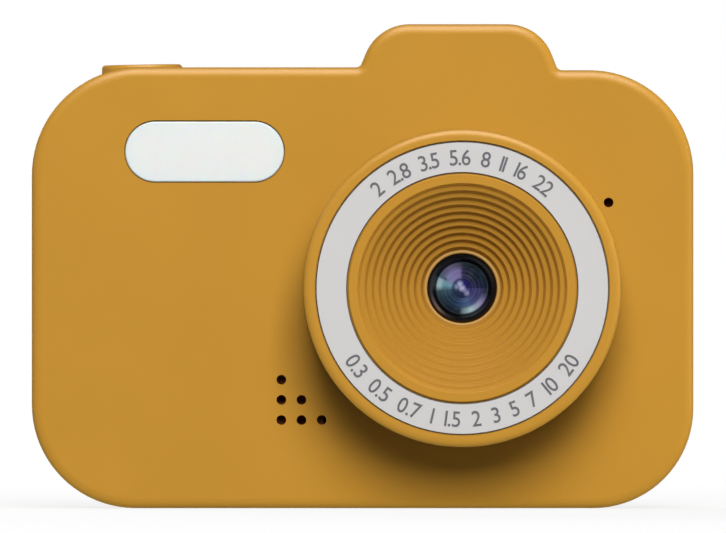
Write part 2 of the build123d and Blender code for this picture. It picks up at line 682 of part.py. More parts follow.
# ------------------------------------------------------------------ rear keys
# (radius, height above the rear face) of the crowned tops
OK_CROWN = ((0, 0.50), (2.2, 0.44), (3.5, 0.30), (3.95, 0.16))
ROUND_CROWN = ((0, 0.62), (1.8, 0.57), (2.75, 0.42), (3.15, 0.22))
ROUND_KEYS = (      # name, x, z, radius, flange radius, crown
    ("ok", PAD_X, PAD_Z, OK_R, 4.70, OK_CROWN),
    ("power", POWER_X, POWER_Z, ROUND_KEY_R, 4.0, ROUND_CROWN),
    ("mode", MODE_X, MODE_Z, ROUND_KEY_R, 4.0, ROUND_CROWN),
)


def direction_key(turn):
    place = Pos(PAD_X, PAD_Z)
    face_y = REAR_Y + KEY_PROUD
    top = sector(KEY_RI, KEY_RO, KEY_HALF, 0.0, KEY_CORNER, turn)
    key = prism(place * top, KEY_FLANGE_Y1 - OVERLAP, face_y)
    key = fillet(edges_at(key, "Y", face_y), 0.35)
    flange = sector(KEY_RI - 0.40, KEY_RO + 0.70, KEY_HALF + 1.5, 0.0, 0.5, turn)
    return key + prism(place * flange, KEY_FLANGE_Y0, KEY_FLANGE_Y1)


def round_key(x, z, radius, flange_r, crown):
    points = [(r, REAR_Y + height) for r, height in crown]
    points += [
        (radius, REAR_Y - 0.15), (radius, KEY_FLANGE_Y1),
        (flange_r, KEY_FLANGE_Y1), (flange_r, KEY_FLANGE_Y0), (0, KEY_FLANGE_Y0),
    ]
    return turned(points, x, z)


def key_plunger(x, z):
    return rod(x, z, 0.8, 9.30, KEY_FLANGE_Y0 - PLUNGER_GAP)


def key_switch(x, z):
    return brick(x, z, 4.0, 4.0, BOARD_BACK, 9.80) - rod(x, z, 0.85, 8.95, 10.5)


switch_places = []
for name, x, z, *sizes in ROUND_KEYS:
    save(name + "_key", round_key(x, z, *sizes))
    save(name + "_plunger", key_plunger(x, z))
    switch_places.append((x, z))
for name, turn in DIRECTION_KEYS:
    place = around(PAD_X, PAD_Z, KEY_SWITCH_RING, turn)
    save(name + "_key", direction_key(turn))
    save(name + "_plunger", key_plunger(*place))
    switch_places.append(place)
save("key_switches", [key_switch(x, z) for x, z in switch_places])


# ------------------------------------------------------------------ main board and its load
def main_board():
    height = BOARD_Z1 - BOARD_Z0
    middle = (BOARD_Z0 + BOARD_Z1) / 2
    board = plate(0, middle, BOARD_W, height, 11.0, BOARD_FRONT, BOARD_BACK)
    for x, z in BOSSES:
        board -= rod(x, z, BOSS_R + 0.5, 5, 10)
    for x, z in BOARD_SCREWS:
        board -= rod(x, z, 1.05, 5, 10)
    return board


def on_board(rows):
    """Blocks on the front of the board from (x0, x1, front y, z0, z1) rows."""
    return [block(x0, x1, y0, BOARD_FRONT, z0, z1) for x0, x1, y0, z0, z1 in rows]


COMPONENTS = [
    (8.0, 18.0, 6.5, 30.0, 40.0),
    (-4.0, 2.0, 6.6, 36.0, 44.0),
    (20.6, 24.6, 6.7, 40.6, 44.6),
    (4.0, 8.6, 5.6, 46.5, 51.1),
    (20.0, 22.4, 6.6, 34.2, 37.4),
]
# two rows of small components
COMPONENTS += [(8.2 + 2.4 * i, 9.2 + 2.4 * i, 7.1, 27.2, 29.0) for i in range(5)]
COMPONENTS += [(-3.6 + 2.2 * i, -2.6 + 2.2 * i, 7.1, 32.6, 34.2) for i in range(4)]
CONNECTORS = (
    (LENS_X - 5.2, LENS_X + 5.2, 6.4, 14.4, 18.6),       # camera module
    (6.0, 18.0, 6.4, 8.2, 11.8),                         # screen
    (-7.2, -1.2, 4.0, 49.6, 53.4),                       # battery
    (-6.4, -1.8, 4.6, 8.6, 12.0),                        # speaker
    (31.2, 35.2, 4.6, 46.4, 49.4),                       # microphone
    (-22.6, -18.6, 4.6, 50.6, 53.6),                     # flash
)
save("main_board", main_board())
save("board_components", on_board(COMPONENTS))
save("board_connectors", on_board(CONNECTORS))

# ------------------------------------------------------------------ battery, leads
CELL_Y1, CELL_Z0, CELL_Z1 = 7.0, 19.2, 44.0
BATTERY_LEAD_R = 0.45


def battery_cell():
    cell = block(-39.4, -9.6, 1.0, CELL_Y1, CELL_Z0, CELL_Z1)
    cell = fillet(cell.edges().filter_by(Axis.Z), 2.4)
    return fillet(edges_at(cell, "Z", CELL_Z1) + edges_at(cell, "Z", CELL_Z0), 0.5)


save("battery_cell", battery_cell())
save("battery_tape", block(-37.0, -12.0, CELL_Y1, BOARD_FRONT, 23.0, 40.0))
save("battery_leads", [wire(path, BATTERY_LEAD_R) for path in (
    [(-20.0, 3.4, 44.25), (-17.6, 2.8, 47.6), (-12.4, 3.6, 50.6), (-7.5, 5.4, 50.7)],
    [(-22.2, 3.4, 44.25), (-19.0, 2.2, 48.8), (-12.6, 3.0, 52.3), (-7.5, 5.4, 52.3)],
)])

# ------------------------------------------------------------------ speaker and microphone
SPEAKER_FRAME = [        # (radius, y)
    (7.2, FRONT_IN), (SPEAKER_R, FRONT_IN), (SPEAKER_R, -7.4), (5.2, -7.0), (5.2, -5.6),
    (0, -5.6), (0, -7.4), (3.2, -7.4), (3.2, -8.6), (6.0, -9.0), (6.0, -9.7),
    (6.9, -9.9), (7.2, -10.3),
]
SPEAKER_CONE = [         # (radius, y), out along the front and back along the rear
    (0, -10.1), (2.0, -9.95), (3.4, -9.40), (4.4, -9.65),
    (5.4, -10.25), (6.2, -10.15), (6.8, -10.08),
    (6.8, -9.96), (6.2, -10.03), (5.4, -10.12),
    (4.4, -9.52), (3.4, -9.26), (2.0, -9.82), (0, -9.97),
]
SPEAKER_END, MIC_END, FLASH_END = -5.35, -7.85, -5.45    # Y of the front ends of the leads
SIGNAL_LEADS = (         # radius, (x, y, z) points
    # speaker
    (0.35, [(SPEAKER_X + 2.0, SPEAKER_END, SPEAKER_Z + 1.0),
            (-8.4, -1.6, 12.6), (-5.6, 2.2, 10.9), (-5.0, 4.4, 10.3)]),
    (0.35, [(SPEAKER_X + 2.0, SPEAKER_END, SPEAKER_Z - 1.0),
            (-7.4, -1.6, 10.9), (-3.6, 2.2, 10.4), (-3.2, 4.4, 10.3)]),
    # microphone
    (0.3, [(MIC_X + 0.8, MIC_END, MIC_Z),
           (35.4, -4.0, 43.6), (34.6, 1.0, 46.6), (34.2, 4.4, 47.9)]),
    (0.3, [(MIC_X - 0.8, MIC_END, MIC_Z),
           (33.2, -4.0, 44.0), (32.6, 1.0, 46.8), (32.4, 4.4, 47.9)]),
    # flash
    (0.35, [(FLASH_X - 0.6, FLASH_END, 46.4),
            (-22.8, -2.6, 47.6), (-21.8, 1.6, 51.2), (-21.4, 4.4, 52.1)]),
    (0.35, [(FLASH_X + 1.4, FLASH_END, 46.4),
            (-20.8, -2.6, 47.6), (-20.0, 1.6, 51.2), (-19.8, 4.4, 52.1)]),
)


def mic_boot():
    boot = rod(MIC_X, MIC_Z, MIC_BOOT_R, FRONT_IN, -7.7)
    boot -= rod(MIC_X, MIC_Z, MIC_R, MIC_FRONT, -7.0)
    boot -= rod(MIC_X, MIC_Z, 0.6, -12.0, -10.0)
    return boot


save("speaker_frame", turned(SPEAKER_FRAME, SPEAKER_X, SPEAKER_Z))
save("speaker_cone", turned(SPEAKER_CONE, SPEAKER_X, SPEAKER_Z))
save("mic_boot", mic_boot())
save("microphone", rod(MIC_X, MIC_Z, MIC_R, MIC_FRONT, -8.0))
save("signal_leads", [wire(path, radius) for radius, path in SIGNAL_LEADS])


# ------------------------------------------------------------------ screen
def lcd_window():
    face_y = REAR_Y - WINDOW_SINK
    window = plate(
        WINDOW_X, WINDOW_Z, WINDOW_W, WINDOW_H, WINDOW_R,
        REAR_Y - WINDOW_T - WINDOW_SINK, face_y,
    )
    return fillet(edges_at(window, "Y", face_y), 0.25)


gasket = RectangleRounded(45.4, 34.0, 1.0) - RectangleRounded(43.0, 32.6, 1.0)
LCD_FLEX_PATH = [        # (y, z), from the foot of the panel round under the main board
    (9.5, WINDOW_Z - LCD_H / 2), (9.5, 5.2), (9.2, 3.6), (8.2, 3.0), (7.2, 3.2),
    (6.75, 4.2), (6.6, 5.4), (6.6, 6.6), (6.9, 8.05),
]
save("lcd_window", lcd_window())
save("lcd_gasket", prism(Pos(WINDOW_X, WINDOW_Z) * gasket, LCD_Y1, REAR_IN))
save("lcd_panel", plate(WINDOW_X, WINDOW_Z, LCD_W, LCD_H, 0.6, LCD_Y0, LCD_Y1))
save("lcd_flex", ribbon(LCD_FLEX_PATH, 0.24, 7.0, 17.0))


# ------------------------------------------------------------------ ports
def usb_prism(x, width, height, depth):
    """A stadium on the USB axis, standing upright and running from x towards +X."""
    plane = Plane(origin=(x, USB_Y, USB_Z), x_dir=(0, 0, 1), z_dir=(1, 0, 0))
    return extrude(plane * stadium(width, height), depth)


def usb_port():
    port = usb_prism(36.9, 8.94, 3.16, 7.3) - usb_prism(39.0, 8.34, 2.56, 7.3)
    port += block(38.9, 43.4, USB_Y - 0.35, USB_Y + 0.35, USB_Z - 3.35, USB_Z + 3.35)
    return port


def card_socket():
    socket = block(24.9, 39.7, 5.70, BOARD_FRONT, CARD_Z - 7.1, CARD_Z + 7.1)
    socket -= block(25.2, 41.0, CARD_Y - 0.42, CARD_Y + 0.42, CARD_Z - 5.6, CARD_Z + 5.6)
    return socket


def memory_card():
    end, back = CARD_END_X, CARD_END_X - 15.0
    face = polygon([
        (back, CARD_Z - 4.9), (end - 9.0, CARD_Z - 4.9), (end - 8.4, CARD_Z - 5.5),
        (end, CARD_Z - 5.5), (end, CARD_Z + 5.5), (back, CARD_Z + 5.5),
    ])
    card = prism(face, CARD_Y - 0.35, CARD_Y + 0.35)
    # ridge along the outer end
    card += block(end - 1.0, end, CARD_Y - 0.60, CARD_Y - 0.30, CARD_Z - 5.4, CARD_Z + 5.4)
    return card


def port_cover():
    half = COVER_H / 2
    lid = block(SIDE_X - COVER_T, SIDE_X, HINGE_Y, COVER_Y1, COVER_Z - half, COVER_Z + half)
    free_edges = lid.edges().filter_by(Axis.X).filter_by(lambda edge: edge.center().Y > 5)
    lid = fillet(free_edges, 1.2)
    # hinge bead and stubs
    lid += post(HINGE_X, HINGE_Y, COVER_Z, HINGE_R, COVER_H)
    lid += post(HINGE_X, HINGE_Y, COVER_Z, HINGE_PIN_R, COVER_H + 2.6)
    # low plug that covers the mouth of the port
    lid += usb_prism(44.3, 7.9, 2.0, 0.5)
    # finger notch in the free edge
    lid -= block(45.5, 47.0, COVER_Y1 - 0.7, COVER_Y1 + 1, COVER_Z - 3.5, COVER_Z + 3.5)
    return lid


save("usb_port", usb_port())
save("card_socket", card_socket())
save("memory_card", memory_card())
save("port_cover", port_cover())

# ------------------------------------------------------------------ lanyard pin and fasteners
save("lanyard_pin", post(LANYARD_X, LANYARD_Y, LANYARD_Z, LANYARD_R, LANYARD_LEN))
save("case_screws", screws(
    BOSSES, CASE_SCREW_SEAT, 1, head_r=1.9, head_h=1.4, core=SCREW_CORE, length=14.0, slot=0.5
))
save("barrel_screws", screws(
    BARREL_SCREWS, FRONT_IN, 1, head_r=1.8, head_h=1.3, core=SCREW_CORE, length=7.6, slot=0.5
))
save("board_screws", screws(
    BOARD_SCREWS, BOARD_FRONT, -1,
    head_r=1.7, head_h=1.2, core=SCREW_CORE, length=3.4, slot=0.45,
))
save("module_screws", screws(
    MODULE_SCREWS, SENSOR_BOARD_Y1, 1,
    head_r=1.3, head_h=0.9, core=0.58, length=3.9, slot=0.35,
))
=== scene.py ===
import bpy
import bmesh
import json
import math
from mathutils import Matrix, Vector


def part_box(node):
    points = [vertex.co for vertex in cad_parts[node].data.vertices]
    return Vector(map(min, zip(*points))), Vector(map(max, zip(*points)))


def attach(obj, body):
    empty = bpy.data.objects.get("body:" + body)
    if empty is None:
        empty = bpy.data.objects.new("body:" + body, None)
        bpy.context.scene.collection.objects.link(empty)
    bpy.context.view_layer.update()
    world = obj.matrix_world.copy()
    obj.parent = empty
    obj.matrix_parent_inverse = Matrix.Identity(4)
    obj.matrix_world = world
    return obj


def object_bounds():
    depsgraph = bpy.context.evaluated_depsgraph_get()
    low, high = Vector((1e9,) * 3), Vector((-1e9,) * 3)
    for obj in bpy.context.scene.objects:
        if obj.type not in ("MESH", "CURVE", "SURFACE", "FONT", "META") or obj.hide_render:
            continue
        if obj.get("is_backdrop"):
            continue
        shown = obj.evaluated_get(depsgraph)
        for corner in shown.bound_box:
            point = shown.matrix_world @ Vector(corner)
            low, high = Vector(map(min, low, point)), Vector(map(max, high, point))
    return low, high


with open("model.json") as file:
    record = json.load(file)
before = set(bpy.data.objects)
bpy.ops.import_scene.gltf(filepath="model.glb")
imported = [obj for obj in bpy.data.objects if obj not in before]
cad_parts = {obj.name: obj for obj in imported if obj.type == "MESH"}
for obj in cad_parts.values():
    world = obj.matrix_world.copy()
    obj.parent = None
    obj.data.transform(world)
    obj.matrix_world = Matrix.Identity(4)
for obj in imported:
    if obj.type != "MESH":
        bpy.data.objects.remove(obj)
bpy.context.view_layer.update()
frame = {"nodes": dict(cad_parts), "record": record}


MM = 0.001
FULL_TURN = 2 * math.pi
scene = bpy.context.scene


def box(node):
    lo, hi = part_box(node)
    return Vector(lo), Vector(hi)


# The lens axis runs along Y through the middle of the trim ring
ring_lo, ring_hi = box("lens_trim_ring")
LENS_X, LENS_Z = (ring_lo.x + ring_hi.x) / 2, (ring_lo.z + ring_hi.z) / 2
RING_R = (ring_hi.x - ring_lo.x) / 2
RING_FACE = ring_lo.y
glass_lo, glass_hi = box("front_lens")
GLASS_R = (glass_hi.x - glass_lo.x) / 2


# ------------------------------------------------------------------ colour and node helpers
def srgb(r, g, b):
    """Linear RGBA from sRGB values of 0 to 255."""
    out = []
    for v in (r, g, b):
        v /= 255.0
        out.append(v / 12.92 if v <= 0.04045 else ((v + 0.055) / 1.055) ** 2.4)
    return (*out, 1.0)


def shade(col, k):
    return (*(min(v * k, 1.0) for v in col[:3]), 1.0)


class Nodes:
    """A new material and short ways to add nodes to it; values may be numbers or sockets."""

    def __init__(self, name):
        self.mat = bpy.data.materials.new(name)
        self.mat.use_nodes = True
        self.tree = self.mat.node_tree
        self.tree.nodes.clear()
        self.out = self.new("OutputMaterial")
        self.obj = self.new("TexCoord").outputs["Object"]

    def new(self, kind, inputs=None, **settings):
        node = self.tree.nodes.new("ShaderNode" + kind)
        for key, value in settings.items():
            setattr(node, key, value)
        for key, value in (inputs or {}).items():
            self.put(node.inputs[key], value)
        return node

    def put(self, socket, value):
        if isinstance(value, bpy.types.NodeSocket):
            self.tree.links.new(value, socket)
        else:
            socket.default_value = value

    def math(self, op, a, b=0.0):
        return self.new("Math", {0: a, 1: b}, operation=op).outputs[0]

    def plus(self, a, b):
        return self.math("ADD", a, b)

    def minus(self, a, b):
        return self.math("SUBTRACT", a, b)

    def times(self, a, b):
        return self.math("MULTIPLY", a, b)

    def length(self, x, z):
        return self.math("SQRT", self.plus(self.times(x, x), self.times(z, z)))

    def turn(self, x, z):
        """Angle as a fraction of a turn: 0 at +X, 0.25 at +Z."""
        return self.math("FRACT", self.plus(
            self.math("DIVIDE", self.math("ARCTAN2", z, x), FULL_TURN), 1.0))

    def span(self, value, over, to=(0.0, 1.0), smooth=False):
        """Map the range 'over' to the range 'to', clamped."""
        return self.new("MapRange", {
            "Value": value, "From Min": over[0], "From Max": over[1],
            "To Min": to[0], "To Max": to[1],
        }, interpolation_type="SMOOTHSTEP" if smooth else "LINEAR").outputs["Result"]

    def line(self, value, at, half_width, strength, smooth=True):
        """A soft line: strength where value equals 'at', 0 beyond half_width."""
        off = self.math("ABSOLUTE", self.minus(value, at))
        return self.span(off, over=(0.0, half_width), to=(strength, 0.0), smooth=smooth)

    def noise(self, scale, detail=2.0, rough=0.5, vec=None, distortion=0.0):
        return self.new("TexNoise", {
            "Vector": vec or self.obj, "Scale": scale, "Detail": detail,
            "Roughness": rough, "Distortion": distortion,
        }).outputs["Fac"]

    def mix(self, fac, a, b, blend="MIX"):
        node = self.new("Mix", data_type="RGBA", blend_type=blend)
        for index, value in ((0, fac), (6, a), (7, b)):
            self.put(node.inputs[index], value)
        return node.outputs[2]

    def ramp(self, fac, stops, full=1.0):
        """Colour ramp from (position, r, g, b) stops; 'full' is the position of its end."""
        node = self.new("ValToRGB", {"Fac": fac})
        els = node.color_ramp.elements
        while len(els) > 1:
            els.remove(els[-1])
        els[0].position, els[0].color = stops[0][0] / full, srgb(*stops[0][1:])
        for pos, *rgb in stops[1:]:
            els.new(pos / full).color = srgb(*rgb)
        return node.outputs["Color"]

    def bump(self, height, strength, distance, normal=None):
        inputs = {"Strength": strength, "Distance": distance, "Height": height}
        if normal is not None:
            inputs["Normal"] = normal
        return self.new("Bump", inputs).outputs["Normal"]

    def edge(self, radius):
        """1 on outside and inside edges, 0 on open faces."""
        bevel = self.new("Bevel", {"Radius": radius}, samples=4)
        geo = self.new("NewGeometry")
        dot = self.new("VectorMath", {0: bevel.outputs["Normal"], 1: geo.outputs["Normal"]},
                       operation="DOT_PRODUCT")
        return self.span(self.minus(1.0, dot.outputs["Value"]), over=(0.02, 0.25), smooth=True)

    def edge_wear_and_highlight(self, base, col, radius, amount):
        """Mix a colour in along the edges: wear on some pieces, a painted highlight on others."""
        return self.mix(self.times(self.edge(radius), amount), base, col)

    def occlusion(self, reach):
        return self.new("AmbientOcclusion", {"Distance": reach}, samples=6).outputs["AO"]

    def axes(self, vector=None):
        return self.new("SeparateXYZ", {0: vector or self.obj}).outputs

    def from_lens_axis(self):
        at = self.axes()
        return self.minus(at["X"], LENS_X), self.minus(at["Z"], LENS_Z)

    def facing_y(self):
        """1 on faces square to Y, 0 on their flanks."""
        normal = self.new("NewGeometry").outputs["True Normal"]
        return self.math("ABSOLUTE", self.axes(normal)["Y"])

    def finish(self, **inputs):
        bsdf = self.new("BsdfPrincipled", {k.replace("_", " "): v for k, v in inputs.items()})
        self.put(self.out.inputs["Surface"], bsdf.outputs["BSDF"])
        return self.mat


# ------------------------------------------------------------------ general materials
def moulded(name, rgb, rough=0.40, vary=0.05, grain_height=0.000010, edge=0.10, specular=0.5,
            warm=None, deep=0.0, seam=0.0, skirt=None, tone=None, bounce=None):
    """Moulded plastic: slow colour drift, fine grain, a painted highlight along the edges with
    smoother rims, and faint scuffs.

    warm: colour of the painted edge highlight; deep, seam: reach of the painted shade in hollows
    and in seams;
    skirt: colour of the painted shade on flanks; tone: function that gives a multiplier, used for
    painted shade;
    bounce: tint of the light thrown onto neighbours.
    """
    m = Nodes(name)
    col = srgb(*rgb)
    drift = m.span(m.noise(scale=55.0, detail=3.0, rough=0.55), over=(0.30, 0.70))
    base = m.mix(drift, shade(col, 1.0 - vary), shade(col, 1.0 + vary))
    speck = m.noise(scale=1900.0, rough=0.6)
    base = m.mix(m.span(speck, over=(0.60, 0.78), to=(0.0, 0.10)), base, shade(col, 0.82))
    rim = m.edge(radius=0.00045)
    # a lighter colour along the rims: a painted edge highlight
    base = m.mix(m.times(rim, edge), base, srgb(*warm) if warm else shade(col, 1.35))
    # painted shade in hollows, darker where ambient occlusion finds surfaces nearby
    if deep:
        hollow = m.span(m.occlusion(deep), over=(0.15, 0.95), to=(0.60, 0.0))
        base = m.mix(hollow, base, shade(col, 0.36))
    # painted shade in creases and narrow gaps between parts, from a short ambient occlusion
    if seam:
        gap = m.span(m.occlusion(seam), over=(0.10, 0.62), to=(0.85, 0.0))
        base = m.mix(gap, base, srgb(66, 44, 14))
    # painted shade on flanks, the faces that look into the gaps beside a piece
    if skirt:
        flank = m.span(m.facing_y(), over=(0.64, 0.93), to=(1.0, 0.0))
        base = m.mix(flank, base, srgb(*skirt))
    if tone:
        base = m.mix(1.0, base, tone(m), "MULTIPLY")
    if bounce:
        path = m.new("LightPath")
        tinted = m.mix(1.0, base, bounce, "MULTIPLY")
        base = m.mix(path.outputs["Is Diffuse Ray"], base, tinted)
    scuff = m.new("TexWave", {"Vector": m.obj, "Scale": 160.0, "Distortion": 14.0, "Detail": 3.0},
                  wave_type="BANDS")
    scratch = m.span(scuff.outputs["Fac"], over=(0.985, 1.0))
    # scratches are a little rougher, rims a little smoother
    dull = m.span(m.noise(scale=130.0, detail=4.0, rough=0.6), over=(0.25, 0.75),
                  to=(rough - 0.05, rough + 0.06))
    dull = m.minus(m.plus(dull, m.times(scratch, 0.05)), m.times(rim, 0.06))
    normal = m.bump(m.noise(scale=5200.0, rough=0.6), strength=0.35, distance=grain_height)
    normal = m.bump(m.noise(scale=420.0), strength=0.22, distance=0.000008, normal=normal)
    return m.finish(Base_Color=base, Roughness=dull, Normal=normal, Specular_IOR_Level=specular)


def metal(name, rgb, rough=0.30, brush=(40.0, 2600.0, 2600.0), wear=0.5):
    """Metal with fine lines and bright edges from wear; brush is the noise scale on each axis."""
    m = Nodes(name)
    col = srgb(*rgb)
    stretch = m.new("Mapping", {"Scale": brush, "Vector": m.obj})
    lines = m.noise(scale=1.0, detail=4.0, rough=0.7, vec=stretch.outputs["Vector"])
    tint = m.span(m.noise(scale=240.0, detail=3.0), over=(0.3, 0.7))
    base = m.mix(tint, shade(col, 0.82), shade(col, 1.10))
    base = m.edge_wear_and_highlight(base, shade(col, 1.5), radius=0.00012, amount=wear)
    dull = m.span(lines, over=(0.25, 0.75), to=(rough - 0.08, rough + 0.12))
    return m.finish(Base_Color=base, Roughness=dull, Metallic=1.0,
                    Normal=m.bump(lines, strength=0.25, distance=0.000006))


def rubber(name, rgb, rough=0.62):
    """Matt rubber with a little dust."""
    m = Nodes(name)
    col = srgb(*rgb)
    drift = m.span(m.noise(scale=90.0, detail=3.0), over=(0.3, 0.7))
    dust = m.span(m.noise(scale=700.0, detail=3.0, rough=0.65), over=(0.52, 0.75), to=(0.0, 0.16))
    base = m.mix(drift, shade(col, 0.93), shade(col, 1.06))
    base = m.mix(dust, base, shade(col, 1.25))
    base = m.edge_wear_and_highlight(base, shade(col, 1.3), radius=0.0003, amount=0.16)
    dull = m.span(m.noise(scale=300.0), over=(0.3, 0.7), to=(rough - 0.05, rough + 0.08))
    grain = m.noise(scale=3600.0, detail=3.0)
    return m.finish(Base_Color=base, Roughness=dull, Specular_IOR_Level=0.35,
                    Normal=m.bump(grain, strength=0.45, distance=0.000018))


def board(name, rgb):
    """Solder mask with faint tracks."""
    m = Nodes(name)
    col = srgb(*rgb)
    upright = m.new("Mapping", {"Rotation": (math.pi / 2, 0, 0), "Vector": m.obj})
    brick = m.new("TexBrick", {
        "Vector": upright.outputs["Vector"], "Scale": 420.0, "Color1": col,
        "Color2": shade(col, 1.25), "Mortar": shade(col, 0.65), "Mortar Size": 0.03,
    })
    cloud = m.span(m.noise(scale=200.0, detail=3.0), over=(0.3, 0.7), to=(0.0, 0.35))
    return m.finish(Base_Color=m.mix(cloud, brick.outputs["Color"], shade(col, 0.8)),
                    Roughness=0.35, Coat_Weight=0.3,
                    Normal=m.bump(brick.outputs["Fac"], strength=0.2, distance=0.00002))


def gloss_black(name, grey, rough):
    m = Nodes(name)
    smear = m.noise(scale=260.0, detail=4.0, rough=0.65, distortion=0.6)
    base = m.mix(m.span(smear, over=(0.35, 0.7)),
                 srgb(grey, grey, grey + 1), srgb(grey + 7, grey + 7, grey + 9))
    base = m.edge_wear_and_highlight(base, srgb(120, 118, 122), radius=0.0002, amount=0.45)
    return m.finish(Base_Color=base,
                    Roughness=m.span(smear, over=(0.3, 0.75), to=(rough, rough + 0.10)),
                    Coat_Weight=0.6, Coat_Roughness=0.04,
                    Normal=m.bump(smear, strength=0.05, distance=0.00001))


# ------------------------------------------------------------------ materials of one piece
def well_shade(m):
    """Painted shade in the well round the lens, most of all under its upper side, where light from
    above is shaded.
    """
    x, z = m.from_lens_axis()
    r = m.length(x, z)
    inside = m.span(r, over=(13.6 * MM, 14.4 * MM), to=(1.0, 0.0), smooth=True)
    up = m.span(m.math("DIVIDE", z, r), over=(-0.15, 0.80), to=(0.0, 0.16), smooth=True)
    overall = 0.07
    k = m.minus(1.0, m.times(inside, m.plus(up, overall)))
    return m.new("CombineXYZ", {0: k, 1: k, 2: k}).outputs[0]


def diffuser():
    """Milky window in front of the flash: fine ribs under a smooth face, a painted highlight along
    its edges, painted shade on its flanks and a faint painted glow.
    """
    m = Nodes("flash_diffuser")
    ribs_per_metre = 1250.0
    across = m.times(m.axes()["X"], ribs_per_metre)
    ribs = m.math("ABSOLUTE", m.minus(m.math("FRACT", across), 0.5))
    soft = m.span(m.noise(scale=70.0), over=(0.3, 0.7))
    base = m.mix(soft, srgb(242, 244, 244), srgb(245, 247, 247))
    base = m.mix(m.times(ribs, 0.05), base, srgb(216, 220, 226))
    # pale colour along the edges: a painted highlight
    base = m.edge_wear_and_highlight(base, srgb(252, 248, 240), radius=0.0005, amount=0.6)
    # painted shade on the flanks, so the gap round the window reads dark brown
    flank = m.span(m.facing_y(), over=(0.1, 0.5), to=(1.0, 0.0))
    base = m.mix(flank, base, srgb(84, 60, 26))
    dull = m.span(m.noise(scale=500.0, detail=3.0), over=(0.3, 0.7), to=(0.16, 0.24))
    # the emission is a faint painted glow that brightens the window
    return m.finish(Base_Color=base, Roughness=dull, Subsurface_Weight=0.35,
                    Subsurface_Scale=0.002, Coat_Weight=0.5, Coat_Roughness=0.06,
                    Emission_Color=base, Emission_Strength=0.05,
                    Normal=m.bump(m.noise(scale=2400.0), strength=0.12, distance=0.000006))


# Painted reflections and sheens round the glass: degrees from +X towards +Z, then sRGB
GLASS_OUTER = [
    (0, 24, 28, 42), (30, 16, 26, 34), (60, 12, 18, 26), (86, 22, 30, 38), (98, 58, 56, 74),
    (120, 84, 76, 108), (144, 72, 76, 100), (156, 124, 150, 160), (174, 140, 168, 174),
    (187, 42, 64, 70), (205, 24, 44, 52), (240, 10, 22, 36), (264, 22, 30, 44),
    (274, 112, 134, 142), (292, 156, 182, 186), (306, 142, 156, 178), (322, 128, 122, 164),
    (338, 74, 74, 104), (350, 30, 32, 50),
]
GLASS_MID = [
    (0, 30, 28, 62), (35, 16, 20, 36), (70, 20, 22, 38), (88, 36, 34, 62), (98, 98, 88, 134),
    (130, 112, 104, 152), (150, 108, 118, 150), (168, 96, 140, 152), (188, 38, 68, 82),
    (215, 18, 42, 60), (245, 22, 46, 70), (268, 42, 66, 100), (290, 60, 84, 124),
    (310, 54, 60, 106), (335, 46, 44, 90),
]
GLASS_INNER = [
    (0, 30, 18, 74), (60, 30, 20, 82), (110, 44, 42, 92), (170, 32, 54, 84),
    (230, 14, 32, 60), (285, 16, 22, 58), (330, 48, 42, 98),
]
# Painted light and dark rings for the rims of the elements below: radius and half width (glass
# radius = 1), strength, sRGB
GLASS_RIMS = [
    (0.40, 0.035, 0.24, (74, 70, 128)), (0.50, 0.03, 0.16, (122, 116, 166)),
    (0.645, 0.03, 0.12, (92, 92, 122)), (0.78, 0.025, 0.08, (96, 104, 130)),
    (0.955, 0.03, 0.30, (108, 116, 130)), (0.345, 0.05, 0.50, (14, 20, 32)),
    (0.57, 0.04, 0.16, (14, 20, 32)), (0.715, 0.035, 0.18, (14, 20, 32)),
]
# Painted highlights: x, z and reach (glass radius = 1), strength
GLASS_HIGHLIGHTS = [
    (0.0, 0.0, 0.18, 0.95), (-0.08, 0.16, 0.17, 0.80), (0.17, -0.18, 0.16, 0.50),
    (-0.20, 0.06, 0.16, 0.40), (-0.05, 0.08, 0.15, 0.70), (0.09, -0.09, 0.14, 0.50),
]


